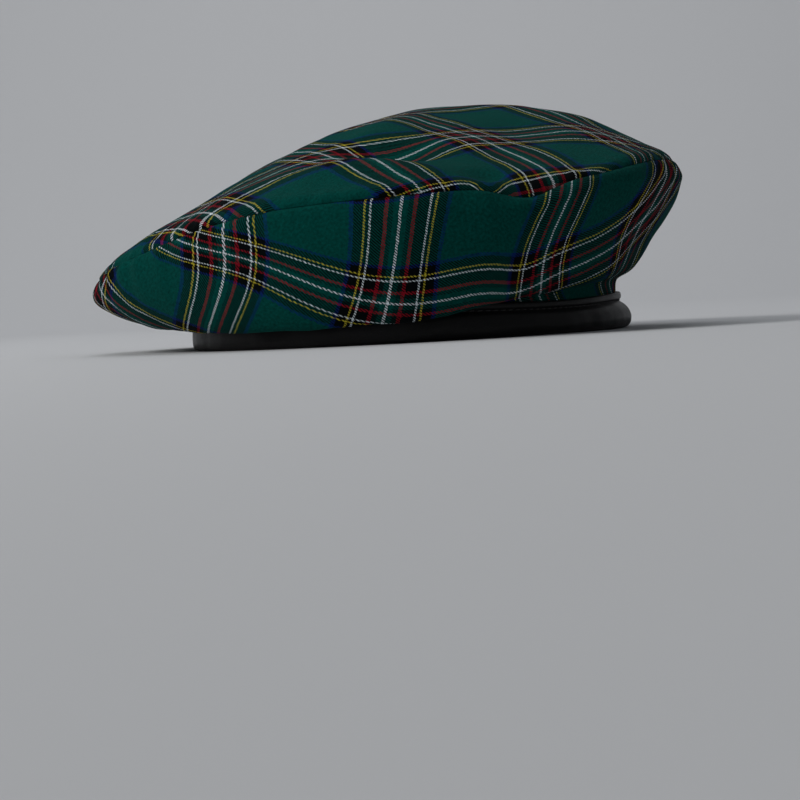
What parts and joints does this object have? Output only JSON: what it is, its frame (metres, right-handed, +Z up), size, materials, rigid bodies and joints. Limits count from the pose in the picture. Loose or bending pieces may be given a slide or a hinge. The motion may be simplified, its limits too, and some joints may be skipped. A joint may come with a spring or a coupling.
{
  "type": "tam o shanter",
  "caption": "Soft flat tartan cap with a wide round crown drooping to one side, an outer seam, a side ring of cloth and a folded leather binding round the head opening.",
  "frame": {"origin": "middle of the hat in plan, on the plane that the binding rests on", "axes": "+Z up out of the crown, -Y towards the forehead side, +X towards the wearer's left; the crown droops towards -X"},
  "size_m": [0.2354, 0.2338, 0.0919],
  "materials": {
    "tartan_cloth": "matt woven wool in a green tartan",
    "binding_leather": "smooth black, softly shiny"
  },
  "bodies": {
    "root": {"crown_top": "tartan_cloth", "crown_side": "tartan_cloth", "headband": "binding_leather"}
  },
  "joints": []
}
